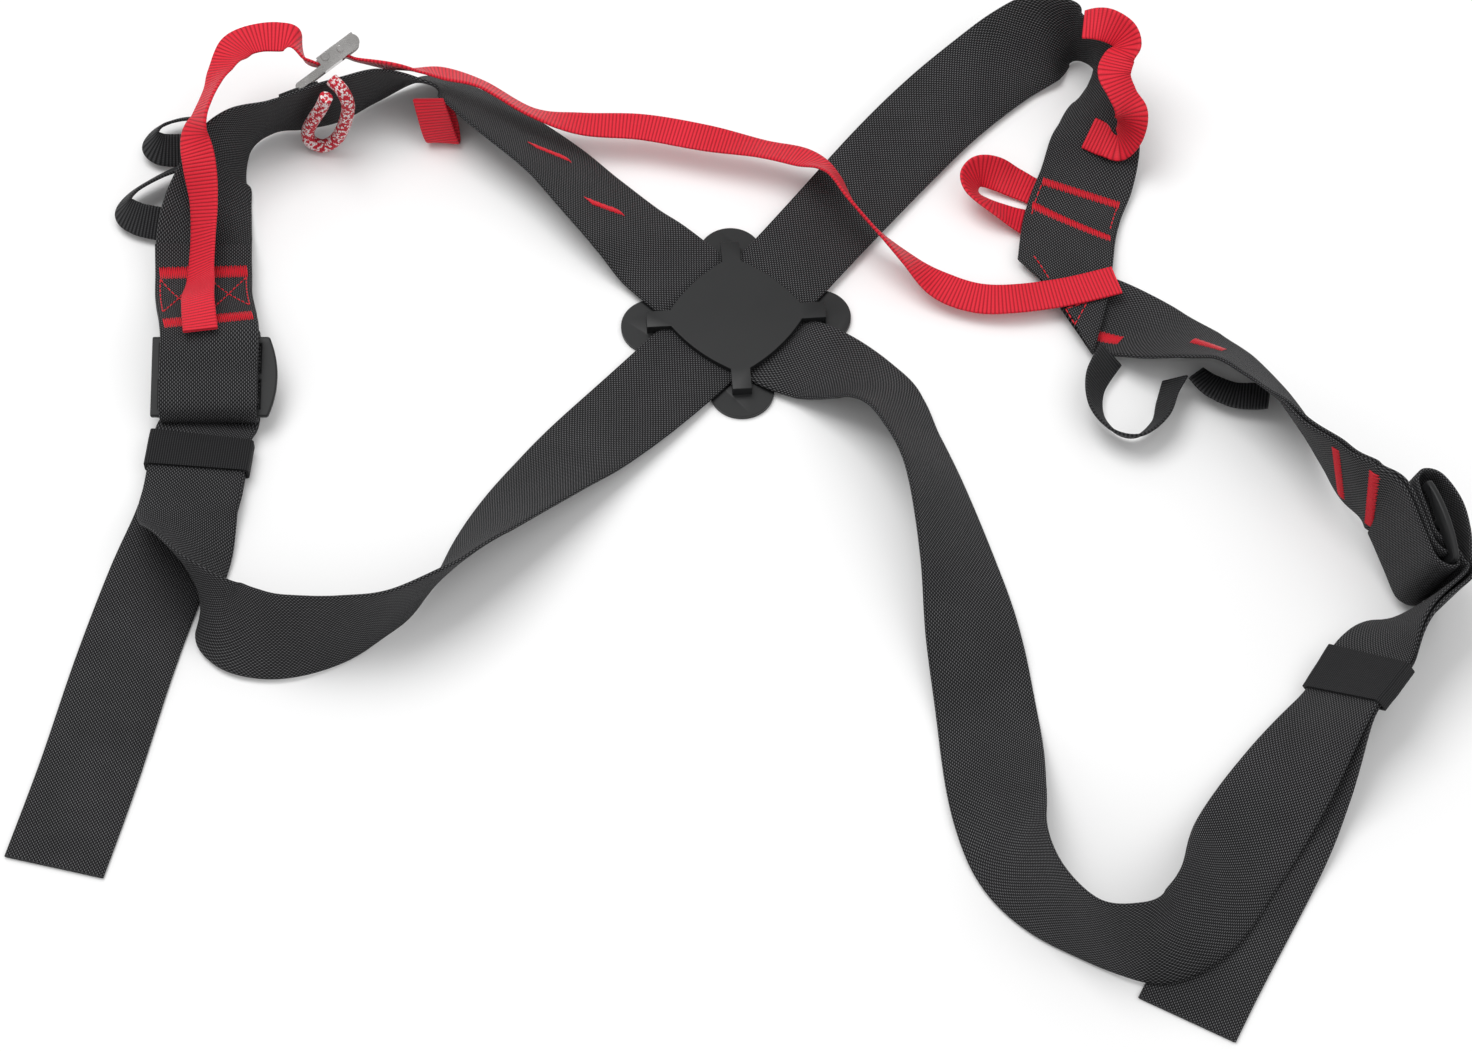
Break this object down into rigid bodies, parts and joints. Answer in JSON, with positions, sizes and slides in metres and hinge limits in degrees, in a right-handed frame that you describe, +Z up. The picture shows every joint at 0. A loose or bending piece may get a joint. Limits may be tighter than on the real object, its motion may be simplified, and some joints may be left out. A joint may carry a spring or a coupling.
{
  "type": "safety harness",
  "caption": "Walking safety harness of crossed black webbing with a four-lobed back plate, adjusters, gear loops and a red chest strap.",
  "frame": {"origin": "centre of the back plate's flat underside, in the plane that the harness lies on", "axes": "+X towards the harness's right as laid out, along its longest extent; +Y towards the shoulders; +Z up, off the plane it lies on"},
  "size_m": [0.6412, 0.5384, 0.0612],
  "materials": {
    "black_webbing": "matte",
    "black_tape": "matte",
    "black_elastic": "matte",
    "red_tape": "matte",
    "red_thread": "matte",
    "cord": "matte",
    "black_plastic": "satin",
    "steel": "polished"
  },
  "bodies": {
    "harness": {"back_plate": "black_plastic", "left_shoulder_strap": "black_webbing", "right_underarm_strap": "black_webbing", "right_threaded_loop": "black_webbing", "right_tail": "black_webbing", "right_shoulder_strap": "black_webbing", "left_underarm_strap": "black_webbing", "left_threaded_loop": "black_webbing", "left_tail": "black_webbing", "right_chest_section": "black_webbing", "left_patch_loop": "black_webbing", "right_patch_loop": "black_webbing", "left_tri_glide": "black_plastic", "right_tri_glide": "black_plastic", "chest_strap": "red_tape", "chest_strap_tail": "red_tape", "buckle_frame": "steel", "buckle_pin": "steel", "buckle_stop_pin": "steel", "buckle_anchor": "black_tape", "pull_cord": "cord", "left_gear_loop_upper": "black_tape", "left_gear_loop_lower": "black_tape", "right_gear_loop_first": "black_tape", "right_gear_loop_second": "black_tape", "left_red_loop": "red_tape", "right_red_loop": "red_tape", "right_shoulder_loop": "red_tape", "left_patch_stitching": "red_thread", "left_shoulder_stitching": "red_thread", "right_shoulder_stitching": "red_thread", "right_chest_stitching": "red_thread", "right_patch_stitching": "red_thread"},
    "left_keeper": {"left_keeper": "black_elastic"},
    "right_keeper": {"right_keeper": "black_elastic"},
    "cam_lever": {"cam_lever": "steel"}
  },
  "joints": [
    {"name": "cam_lever_hinge", "type": "hinge", "parent": "harness", "child": "cam_lever", "pos_m": [-0.19593, 0.12433, 0.04306], "axis": [-0.1034, 0.5698, -0.8152], "range_deg": [-65, 0]},
    {"name": "left_keeper_slide", "type": "slide", "parent": "harness", "child": "left_keeper", "axis": [0.087, 0.9962, 0], "range_m": [-0.008, 0]},
    {"name": "right_keeper_slide", "type": "slide", "parent": "harness", "child": "right_keeper", "axis": [0.5865, 0.7998, 0.1278], "range_m": [-0.003, 0.004]}
  ]
}
